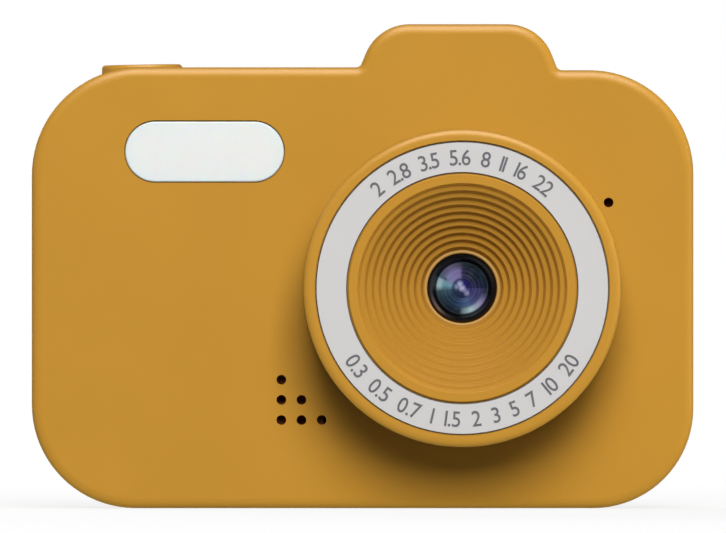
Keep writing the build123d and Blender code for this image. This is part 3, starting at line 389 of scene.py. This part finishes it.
def coated_glass():
    """The front element: painted inner rims, painted violet and sea green reflections and painted
    highlights, with a faint painted glow, under a coated dome.
    """
    m = Nodes("coated_glass")
    x, z = (m.math("DIVIDE", v, GLASS_R) for v in m.from_lens_axis())
    r = m.length(x, z)
    turn = m.turn(x, z)
    outer, mid, inner = (m.ramp(turn, stops, full=360)
                         for stops in (GLASS_OUTER, GLASS_MID, GLASS_INNER))
    col = m.mix(m.span(r, over=(0.30, 0.42), smooth=True), inner, mid)
    col = m.mix(m.span(r, over=(0.66, 0.84), smooth=True), col, outer)
    for at, half_width, strength, rgb in GLASS_RIMS:
        col = m.mix(m.line(r, at, half_width, strength), col, srgb(*rgb))
    # a broken patch in the reflection, upper left seen from the front
    patch = m.times(m.line(turn, at=151 / 360, half_width=0.022, strength=1.0),
                    m.span(r, over=(0.55, 0.70), smooth=True))
    col = m.mix(m.times(patch, 0.7), col, srgb(30, 40, 66))
    grime = m.noise(scale=900.0, detail=3.0)
    col = m.mix(m.span(grime, over=(0.45, 0.75), to=(0.0, 0.14)), col, srgb(86, 96, 112))
    col = m.mix(m.span(r, over=(0.90, 1.0), smooth=True), col, srgb(6, 7, 9))

    def highlight_spot(at_x, at_z, reach, strength):
        dist = m.length(m.minus(x, at_x), m.minus(z, at_z))
        return m.span(dist, over=(0.0, reach), to=(strength, 0.0), smooth=True)

    highlight_spots = [highlight_spot(*row) for row in GLASS_HIGHLIGHTS]
    glow = m.math("MAXIMUM", highlight_spots[0], m.math("MAXIMUM", highlight_spots[1], highlight_spots[2]))
    for extra in highlight_spots[3:]:
        glow = m.math("MAXIMUM", glow, extra)
    streak = m.noise(scale=1500.0, distortion=0.4)
    glow = m.times(glow, m.span(streak, over=(0.35, 0.65), to=(0.72, 1.0)))
    # mix in the painted highlights
    col = m.mix(glow, col, srgb(176, 180, 216))
    # the emission makes the whole glass glow a little, painted light
    return m.finish(Base_Color=col, Roughness=0.16, Specular_IOR_Level=0.4, Coat_Weight=1.0,
                    Coat_Roughness=0.02, Emission_Color=col, Emission_Strength=0.32,
                    Normal=m.bump(grime, strength=0.02, distance=0.000004))


# Light caught in the bezel groove: fraction of a turn from +X towards +Z, then sRGB
BEZEL_GLINT = [
    (0.0, 26, 19, 22), (0.10, 46, 42, 40), (0.16, 40, 37, 36), (0.25, 10, 9, 11),
    (0.36, 22, 21, 24), (0.44, 52, 50, 58), (0.53, 60, 58, 66), (0.59, 110, 92, 88),
    (0.62, 120, 98, 90), (0.66, 60, 50, 50), (0.72, 16, 12, 13), (0.92, 20, 14, 16),
]


def bezel_black():
    """Black ring with a shallow groove that carries painted glints."""
    m = Nodes("bezel_black")
    x, z = m.from_lens_axis()
    glint = m.ramp(m.turn(x, z), BEZEL_GLINT)
    groove = m.line(m.length(x, z), at=4.30 * MM, half_width=0.34 * MM, strength=0.9)
    smear = m.noise(scale=260.0, detail=4.0, rough=0.65, distortion=0.6)
    base = m.mix(m.span(smear, over=(0.35, 0.7)), srgb(5, 4, 5), srgb(11, 10, 11))
    base = m.mix(groove, base, glint)
    base = m.edge_wear_and_highlight(base, srgb(90, 84, 84), radius=0.0002, amount=0.15)
    return m.finish(Base_Color=base,
                    Roughness=m.span(smear, over=(0.3, 0.75), to=(0.16, 0.26)),
                    Specular_IOR_Level=0.3, Coat_Weight=0.3, Coat_Roughness=0.08,
                    Normal=m.bump(groove, strength=0.25, distance=0.00004))


def screen():
    """Black-bordered window over a dark display."""
    half_width, half_height = 20.4 * MM, 15.3 * MM
    lo, hi = box("lcd_window")
    m = Nodes("screen_window")
    at = m.axes()

    def beyond(axis, centre, half):
        return m.minus(m.math("ABSOLUTE", m.minus(at[axis], centre)), half)

    border = m.math("MAXIMUM", beyond("X", (lo.x + hi.x) / 2, half_width),
                    beyond("Z", (lo.z + hi.z) / 2, half_height))
    outside = m.span(border, over=(-0.00006, 0.00006))
    # the panel is painted lighter towards the top, a painted reflection
    panel = m.mix(m.span(at["Z"], over=(lo.z, hi.z)), srgb(30, 33, 38), srgb(44, 48, 56))
    smear = m.noise(scale=120.0, detail=4.0, rough=0.6, distortion=1.2)
    panel = m.mix(m.span(smear, over=(0.45, 0.75), to=(0.0, 0.22)), panel, srgb(60, 66, 76))
    frame_line = m.minus(border, 0.00035)
    frame_line = m.span(m.math("ABSOLUTE", frame_line), over=(0.0, 0.00016), to=(0.5, 0.0))
    base = m.mix(outside, panel, srgb(9, 9, 10))
    base = m.mix(frame_line, base, srgb(52, 52, 56))
    base = m.edge_wear_and_highlight(base, srgb(120, 120, 126), radius=0.0003, amount=0.5)
    prints = m.noise(scale=340.0, detail=4.0, rough=0.6, distortion=0.8)
    return m.finish(Base_Color=base,
                    Roughness=m.span(prints, over=(0.35, 0.7), to=(0.035, 0.12)),
                    Coat_Weight=1.0, Coat_Roughness=0.03,
                    Normal=m.bump(smear, strength=0.03, distance=0.00002))


def capsule():
    """Metal can with a brown felt disc over its front."""
    front = box("microphone")[0].y
    m = Nodes("microphone_capsule")
    felt = m.span(m.axes()["Y"], over=(front + 0.00004, front + 0.00008), to=(1.0, 0.0))
    fibre = m.noise(scale=2600.0, detail=4.0, rough=0.7, distortion=1.5)
    brown = m.mix(fibre, srgb(96, 40, 30), srgb(130, 60, 44))
    can = m.mix(m.noise(scale=300.0), srgb(150, 150, 152), srgb(190, 190, 192))
    can_rough, felt_extra = 0.32, 0.6
    return m.finish(Base_Color=m.mix(felt, can, brown), Metallic=m.minus(1.0, felt),
                    Roughness=m.plus(m.times(felt, felt_extra), can_rough),
                    Specular_IOR_Level=0.1,
                    Normal=m.bump(fibre, strength=0.4, distance=0.00003))


# ------------------------------------------------------------------ which piece gets which
# shell and barrel: painted shade in their creases and gaps (seam), a faint painted edge highlight
# (edge, warm)
BODY = dict(specular=0.44, edge=0.05, seam=0.0007, bounce=(0.40, 0.52, 0.70, 1.0))
SLOT = {
    "shell_mustard": moulded("mustard_shell", (205, 149, 52), rough=0.37, vary=0.020,
                             warm=(232, 184, 104), **BODY),
    "button_mustard": moulded("mustard_key", (212, 154, 58), rough=0.30, vary=0.02, edge=0.25,
                              warm=(238, 196, 122)),
    # trim ring: skirt paints shade on its flanks, in the gaps either side of it
    "trim_white": moulded("trim_white", (219, 217, 217), rough=0.38, vary=0.012, edge=0.12,
                          warm=(240, 239, 236), skirt=(58, 38, 14)),
    "diffuser_white": diffuser(),
    "reflector_white": moulded("reflector_white", (236, 236, 234), rough=0.25, vary=0.02,
                               edge=0.0),
    "bezel_black": bezel_black(),
    "lens_glass": coated_glass(),
    "filter_glass": gloss_black("filter_cyan", grey=40, rough=0.08),
    "black_plastic": moulded("black_satin", (22, 21, 23), rough=0.38, vary=0.2, edge=0.3,
                             warm=(70, 70, 76)),
    "plunger_plastic": moulded("plunger_plastic", (204, 200, 188), edge=0.2),
    "chip_black": moulded("chip_black", (26, 26, 29), rough=0.5, vary=0.15, edge=0.35,
                          warm=(84, 84, 88)),
    "board_green": board("board_green", (24, 104, 62)),
    "flex_amber": moulded("flex_amber", (196, 122, 44), rough=0.3, vary=0.08, edge=0.0),
    "led_white": moulded("led_phosphor", (240, 226, 130), rough=0.3, edge=0.0),
    "battery_foil": metal("battery_foil", (196, 198, 200), rough=0.42,
                          brush=(900.0, 900.0, 900.0), wear=0.2),
    "foam_tape": rubber("foam_grey", (58, 58, 60), rough=0.85),
    "wire_sheath": moulded("wire_sheath", (170, 34, 28), vary=0.08, edge=0.0),
    "speaker_film": moulded("speaker_film", (172, 104, 66), rough=0.6, vary=0.12, edge=0.0),
    "rubber_boot": rubber("black_rubber", (26, 26, 27)),
    "rubber_cover": rubber("mustard_rubber", (201, 144, 54)),
    "bright_steel": metal("bright_steel", (190, 190, 192)),
    "screw_steel": metal("screw_steel", (150, 150, 154), rough=0.34),
    "screen_window": screen(),
    "screen_panel": gloss_black("screen_panel", grey=16, rough=0.12),
}
mat_barrel = moulded("mustard_barrel", (206, 150, 54), rough=0.35, vary=0.018,
                     warm=(236, 190, 112), **BODY)
OWN = {
    "lens_barrel": mat_barrel,
    # the cone gets painted shade in its hollows and in its well
    "lens_cone": moulded("mustard_cone", (203, 147, 54), rough=0.50, specular=0.18, deep=0.005,
                         vary=0.015, edge=0.0, grain_height=0.000006, tone=well_shade),
    "shutter_button": mat_barrel,
    "microphone": capsule(),
}
INK = dict(edge=0.0, grain_height=0.000004)
mat_print = moulded("scale_ink", (112, 112, 118), rough=0.55, vary=0.06, **INK)
mat_icon = moulded("key_ink", (245, 240, 228), rough=0.5, vary=0.03, **INK)

for part in frame["record"]["subparts"]:
    piece = frame["nodes"][part["node"]]
    want = OWN.get(part["node"], SLOT[part["material_slot"]])
    if not piece.material_slots:
        piece.data.materials.append(want)
    for slot in piece.material_slots:
        slot.material = want


# ------------------------------------------------------------------ mesh helpers
def mesh_object(name, bm, mat, smooth=False):
    bmesh.ops.recalc_face_normals(bm, faces=bm.faces)
    me = bpy.data.meshes.new(name)
    bm.to_mesh(me)
    bm.free()
    me.materials.append(mat)
    for face in me.polygons:
        face.use_smooth = smooth
    obj = bpy.data.objects.new(name, me)
    scene.collection.objects.link(obj)
    return obj


def add_detail(name, bm, mat, ride, smooth=False):
    obj = mesh_object(name, bm, mat, smooth)
    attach(obj, ride)


def bridge(bm, rows, closed):
    """Join rows of vertices into a tube, either closed on itself or capped at both ends."""
    n = len(rows[0])
    for a, b in zip(rows, rows[1:] + (rows[:1] if closed else [])):
        for j in range(n):
            k = (j + 1) % n
            bm.faces.new((a[j], a[k], b[k], b[j]))
    if not closed:
        bm.faces.new(rows[0])
        bm.faces.new(rows[-1][::-1])


# ------------------------------------------------------------------ scales on the trim ring
TEXT_H = 2.15 * MM
TEXT_R = RING_R - 2.15 * MM     # radius of the middle of the characters
TEXT_LIFT = 0.03 * MM
TEXT_FACE = RING_FACE - 0.01 * MM
CAP_HEIGHT = 0.70               # of the built-in font at size 1
SQUEEZE = 0.92                  # narrows the characters
TEXT_SCALE = TEXT_H / CAP_HEIGHT


def glyph(text):
    """Mesh of one character of the built-in font at size 1, and its left and right ends."""
    curve = bpy.data.curves.new("glyph", "FONT")
    curve.body = text
    curve.size = 1.0
    curve.resolution_u = 6
    curve.offset = 0.006
    curve.fill_mode = "FRONT"
    obj = bpy.data.objects.new("glyph", curve)
    scene.collection.objects.link(obj)
    bpy.context.view_layer.update()
    depsgraph = bpy.context.evaluated_depsgraph_get()
    me = bpy.data.meshes.new_from_object(obj.evaluated_get(depsgraph))
    bpy.data.objects.remove(obj)
    bpy.data.curves.remove(curve)
    xs = [v.co.x for v in me.vertices]
    return me, min(xs, default=0.0), max(xs, default=0.0)


def glyph_width(text):
    if text == " ":
        return TEXT_H * 0.60
    me, left, right = glyph(text)
    bpy.data.meshes.remove(me)
    return (right - left) * TEXT_SCALE * SQUEEZE


def add_glyph(bm, text, place):
    """Add a raised character; place maps (across, up, lift) to a point."""
    me, left, right = glyph(text)
    part = bmesh.new()
    part.from_mesh(me)
    bmesh.ops.remove_doubles(part, verts=part.verts, dist=1e-5)
    got = bmesh.ops.extrude_face_region(part, geom=part.faces[:])
    top = {v for v in got["geom"] if isinstance(v, bmesh.types.BMVert)}
    for v in part.verts:
        across = (v.co.x - (left + right) / 2) * TEXT_SCALE * SQUEEZE
        v.co = place(across, v.co.y * TEXT_SCALE, TEXT_LIFT if v in top else 0.0)
    part.to_mesh(me)
    part.free()
    bm.from_mesh(me)
    bpy.data.meshes.remove(me)


def arc_text(bm, text, centre, half_angle, way):
    """Characters spread round the ring, in degrees clockwise from the top seen from the front.

    way is 1 to run clockwise with heads outwards, -1 to run back with heads inwards.
    """
    widths = [glyph_width(c) for c in text]
    total = math.radians(2 * half_angle) * TEXT_R
    gap = (total - sum(widths)) / (len(text) - 1)
    run = 0.0
    for c, width in zip(text, widths):
        along = run + width / 2
        run += width + gap
        if c == " ":
            continue
        angle = math.radians(centre - way * half_angle) + way * along / TEXT_R
        sin, cos = math.sin(angle), math.cos(angle)

        def place(across, up, lift):
            r = TEXT_R + way * (up - TEXT_H / 2)
            return Vector((LENS_X + sin * r + cos * across * way, TEXT_FACE - lift,
                           LENS_Z + cos * r - sin * across * way))

        add_glyph(bm, c, place)


bm = bmesh.new()
arc_text(bm, "2 2.8 3.5 5.6 8 11 16 22", centre=0, half_angle=42.5, way=1)
arc_text(bm, "0.3 0.5 0.7 1 1.5 2 3 5 7 10 20", centre=180, half_angle=58.5, way=-1)
add_detail("ring_scale_print", bm, mat_print, "root")


# ------------------------------------------------------------------ bead at the foot of the cone
bezel_lo, bezel_hi = box("lens_bezel")
BEAD_R = (bezel_hi.x - bezel_lo.x) / 2 + 0.27 * MM
BEAD_Y = bezel_lo.y + 0.33 * MM
BEAD_HALF_W, BEAD_HALF_D = 0.17 * MM, 0.12 * MM
BEAD_SIDES, BEAD_STEPS = 14, 180

bm = bmesh.new()
rows = []
for i in range(BEAD_STEPS):
    t = FULL_TURN * i / BEAD_STEPS
    row = []
    for k in range(BEAD_SIDES):
        s = FULL_TURN * k / BEAD_SIDES
        r = BEAD_R + BEAD_HALF_W * math.cos(s)
        row.append(bm.verts.new((LENS_X + r * math.cos(t), BEAD_Y + BEAD_HALF_D * math.sin(s),
                                 LENS_Z + r * math.sin(t))))
    rows.append(row)
bridge(bm, rows, closed=True)
# the bead's paler colour is a painted highlight all round the lens mouth
mat_bead = moulded("mustard_bead_painted_highlight", (206, 164, 100), rough=0.34, vary=0.02, edge=0.0)
add_detail("lens_mouth_bead", bm, mat_bead, "root", smooth=True)


# ------------------------------------------------------------------ marks on the rear keys
MARK_LIFT = 0.03 * MM


def plate(bm, points, y0, y1, top_scale):
    """A thin plate from (x, z) points, with its rear face at y1 drawn in by top_scale."""
    n = len(points)
    cx = sum(p[0] for p in points) / n
    cz = sum(p[1] for p in points) / n
    low = [bm.verts.new((x, y0, z)) for x, z in points]
    high = [bm.verts.new((cx + (x - cx) * top_scale, y1, cz + (z - cz) * top_scale))
            for x, z in points]
    for i in range(n):
        j = (i + 1) % n
        bm.faces.new((low[i], low[j], high[j], high[i]))
    bm.faces.new(high)
    bm.faces.new(low[::-1])


def bar(bm, cx, cz, half_w, half_h, top, lift):
    corners = [(cx + sx * half_w, cz + sz * half_h)
               for sx, sz in ((-1, -1), (1, -1), (1, 1), (-1, 1))]
    plate(bm, corners, top - 0.08 * MM, top + lift, top_scale=0.975)


def round_triangle(cx, cz, size, turn, rounding=0.18):
    points = []
    for k in range(3):
        a = turn + FULL_TURN * k / 3
        reach = size * (1 - rounding)
        for s in range(-3, 4):
            b = a + s * math.radians(60) / 3
            points.append((cx + reach * math.cos(a) + size * rounding * math.cos(b),
                           cz + reach * math.sin(a) + size * rounding * math.sin(b)))
    return points


def arc_strip(bm, cx, cz, inner, outer, start, end, y_of, steps):
    """A thin printed arc on the crown of a key; y_of gives the key's surface at a radius."""
    full = abs(end - start) > FULL_TURN - 1e-6
    inset = 0.04 * MM
    profile = ((inner, -MARK_LIFT), (inner + inset, MARK_LIFT),
               (outer - inset, MARK_LIFT), (outer, -MARK_LIFT))
    rows = []
    for i in range(steps if full else steps + 1):
        t = start + (end - start) * i / steps
        rows.append([bm.verts.new((cx + r * math.cos(t), y_of(r) + lift, cz + r * math.sin(t)))
                     for r, lift in profile])
    bridge(bm, rows, closed=full)


def crown(top, stations):
    """Surface height at a radius, from (radius, drop below top) stations in mm."""
    points = [(r * MM, top - drop * MM) for r, drop in stations]

    def y_of(r):
        for (r0, y0), (r1, y1) in zip(points, points[1:]):
            if r <= r1:
                return y0 + (y1 - y0) * (r - r0) / (r1 - r0)
        return points[-1][1]
    return y_of


OK_CROWN = [(0, 0), (2.2, 0.06), (3.5, 0.20), (3.95, 0.34), (4.25, 0.65)]
SIDE_KEY_CROWN = [(0, 0), (1.8, 0.05), (2.75, 0.20), (3.15, 0.40), (3.4, 0.77)]
ARROW_R = 7.75 * MM             # from the middle of the pad
ARROW_SIZE = 1.05 * MM

# Arrows; the left key lies at +X because it is seen from the rear
ok_lo, ok_hi = box("ok_key")
pad = (ok_lo + ok_hi) / 2
for node, turn in (("left_key", 0.0), ("up_key", math.pi / 2),
                   ("right_key", math.pi), ("down_key", -math.pi / 2)):
    top = box(node)[1].y
    bm = bmesh.new()
    arrow = round_triangle(pad.x + ARROW_R * math.cos(turn), pad.z + ARROW_R * math.sin(turn),
                           ARROW_SIZE, turn)
    plate(bm, arrow, top - 0.02 * MM, top + 0.04 * MM, top_scale=0.9)
    add_detail(node + "_mark", bm, mat_icon, node)

bm = bmesh.new()
arc_strip(bm, pad.x, pad.z, 1.25 * MM, 1.62 * MM, 0, FULL_TURN, crown(ok_hi.y, OK_CROWN), steps=48)
add_detail("ok_key_mark", bm, mat_icon, "ok_key", smooth=True)

for node in ("power_key", "mode_key"):
    lo, hi = box(node)
    top = hi.y
    mid = (lo + hi) / 2
    bm = bmesh.new()
    if node == "power_key":
        # a ring open at the top, with an upright bar in the gap
        arc_strip(bm, mid.x, mid.z, 0.98 * MM, 1.28 * MM, math.radians(90 + 34),
                  math.radians(90 + 326), crown(top, SIDE_KEY_CROWN), steps=36)
        bar(bm, mid.x, mid.z + 0.85 * MM, 0.15 * MM, 0.60 * MM, top, lift=0.03 * MM)
    else:
        # three level bars
        for row in (-0.62, 0.0, 0.62):
            bar(bm, mid.x, mid.z + row * MM, 1.05 * MM, 0.14 * MM, top, lift=0.02 * MM)
    add_detail(node + "_mark", bm, mat_icon, node)


# ------------------------------------------------------------------ ridges on the rubber cover
RIDGES, RIDGE_PITCH, RIDGE_STEPS = 5, 1.5 * MM, 8
RIDGE_LENGTH, RIDGE_END = 2.5 * MM, 1.1 * MM    # RIDGE_END: from the rear edge
RIDGE_HALF_W, RIDGE_TIP_W, RIDGE_RISE = 0.30 * MM, 0.02 * MM, 0.16 * MM
RIDGE_SINK = 0.06 * MM
lo, hi = box("port_cover")
bm = bmesh.new()
for k in range(RIDGES):
    z = (lo.z + hi.z) / 2 + (k - RIDGES // 2) * RIDGE_PITCH
    rows = []
    for i in range(RIDGE_STEPS + 1):
        t = i / RIDGE_STEPS
        swell = math.sqrt(math.sin(math.pi * t))
        y = hi.y - RIDGE_END - RIDGE_LENGTH * (1 - t)
        half = RIDGE_HALF_W * swell + RIDGE_TIP_W
        rise = RIDGE_RISE * swell
        section = ((-RIDGE_SINK, -half), (rise * 0.8, -half * 0.5), (rise, 0.0),
                   (rise * 0.8, half * 0.5), (-RIDGE_SINK, half))
        rows.append([bm.verts.new((hi.x + dx, y, z + dz)) for dx, dz in section])
    bridge(bm, rows, closed=False)
add_detail("cover_grip_ridges", bm, SLOT["rubber_cover"], "port_cover",
           smooth=True)


# ------------------------------------------------------------------ floor
def floor_material():
    """Pale to the camera and whiter far out; dark to every other ray."""
    m = Nodes("studio_floor")
    at = m.axes(m.new("NewGeometry").outputs["Position"])
    far = m.span(m.length(at["X"], at["Y"]), over=(0.07, 0.45), smooth=True)
    seen = m.new("LightPath").outputs["Is Camera Ray"]
    tone = m.mix(m.span(m.noise(scale=9.0, detail=3.0), over=(0.3, 0.7)),
                 (0.90, 0.90, 0.90, 1), (0.93, 0.93, 0.93, 1))
    tone = m.mix(seen, (0.12, 0.12, 0.12, 1), tone)
    diffuse = m.new("BsdfDiffuse", {"Color": tone})
    glow = m.new("Emission", {"Color": (1, 1, 1, 1), "Strength": 1.0})
    near_glow, far_extra = 0.80, 0.20
    share = m.times(seen, m.plus(m.times(far, far_extra), near_glow))
    lift = m.new("MixShader", {0: share, 1: diffuse.outputs[0], 2: glow.outputs[0]})
    m.put(m.out.inputs["Surface"], lift.outputs[0])
    return m.mat


FLOOR_Z = -0.03 * MM
FLOOR_SIDES = 64
bm = bmesh.new()
centre = bm.verts.new((0, 0, FLOOR_Z))
inside = None
for r in (0.05, 0.10, 0.2, 0.4, 0.8, 1.6, 3.0):
    angles = [FULL_TURN * k / FLOOR_SIDES for k in range(FLOOR_SIDES)]
    row = [bm.verts.new((r * math.cos(a), r * math.sin(a), FLOOR_Z)) for a in angles]
    for k in range(FLOOR_SIDES):
        j = (k + 1) % FLOOR_SIDES
        if inside is None:
            bm.faces.new((centre, row[k], row[j]))
        else:
            bm.faces.new((inside[k], row[k], row[j], inside[j]))
    inside = row
floor = mesh_object("studio_floor", bm, floor_material())
floor.visible_shadow = False    # lets the light below the floor through
floor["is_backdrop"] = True

# ------------------------------------------------------------------ world: white to the camera
world = bpy.data.worlds.new("studio")
scene.world = world
world.use_nodes = True
tree = world.node_tree
tree.nodes.clear()
world_out = tree.nodes.new("ShaderNodeOutputWorld")
chooser = tree.nodes.new("ShaderNodeMixShader")
path = tree.nodes.new("ShaderNodeLightPath")
tree.links.new(path.outputs["Is Camera Ray"], chooser.inputs[0])
# mixer input, colour, strength: first what lights the scene, then what the camera sees
for index, col, strength in ((1, (0.50, 1.0, 1.0, 1), 0.04), (2, (1, 1, 1, 1), 1.0)):
    background = tree.nodes.new("ShaderNodeBackground")
    background.inputs["Color"].default_value = col
    background.inputs["Strength"].default_value = strength
    tree.links.new(background.outputs[0], chooser.inputs[index])
tree.links.new(chooser.outputs[0], world_out.inputs["Surface"])

# ------------------------------------------------------------------ lights
whole_lo, whole_hi = (Vector(v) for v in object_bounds())
MIDDLE = ((whole_lo.x + whole_hi.x) / 2, 0.0, (whole_lo.z + whole_hi.z) / 2)


def softbox(name, pos, size, power, color=(1, 1, 1), aim=MIDDLE, diffuse=True, glossy=False):
    light = bpy.data.lights.new(name, "AREA")
    light.shape = "RECTANGLE"
    light.size, light.size_y = size
    light.energy = power
    light.color = color
    obj = bpy.data.objects.new(name, light)
    obj.location = pos
    obj.rotation_euler = (Vector(aim) - Vector(pos)).to_track_quat("-Z", "Y").to_euler()
    obj.visible_diffuse = diffuse
    obj.visible_glossy = glossy
    scene.collection.objects.link(obj)


softbox("key", pos=(0.136, -1.553, 0.92), size=(0.88, 1.12), power=33.1,
        color=(1.0, 0.983, 0.962))
softbox("overhead", pos=(0.05, 0.05, 1.15), size=(1.0, 0.8), power=2.0, glossy=True)
softbox("overhead_sheen", pos=(0.04, -0.44, 1.14), size=(1.2, 1.16), power=20.5,
        diffuse=False, glossy=True)
softbox("rear_fill", pos=(-0.45, 1.10, 0.34), size=(0.7, 0.6), power=15.0)
softbox("side_fill", pos=(1.12, 0.05, 0.10), size=(0.6, 0.6), power=7.0)
softbox("other_side_fill", pos=(-1.12, 0.12, 0.10), size=(0.6, 0.6), power=3.0)
softbox("table_glow", pos=(0.0, 0.0, -0.60), size=(0.25, 0.25), power=2.0,
        color=(0.90, 1.0, 1.15), aim=(0, 0, 0))

scene.view_settings.view_transform = "Standard"
scene.view_settings.look = "None"
scene.view_settings.exposure = 0.0
scene.view_settings.gamma = 1.0

# ------------------------------------------------------------------ camera, square to the front
VIEW_WIDTH = 0.10092            # width of the view at the front of the body
DISTANCE = 3.0
cam = bpy.data.cameras.new("camera")
cam.sensor_width = 36.0
cam.lens = 36.0 * DISTANCE / VIEW_WIDTH
cam.clip_start = 0.05
cam.clip_end = 20.0
camera = bpy.data.objects.new("camera", cam)
camera.location = (0.00006, box("front_shell")[0].y - DISTANCE, 0.0336)
camera.rotation_euler = (math.pi / 2, 0, 0)
scene.collection.objects.link(camera)
scene.camera = camera
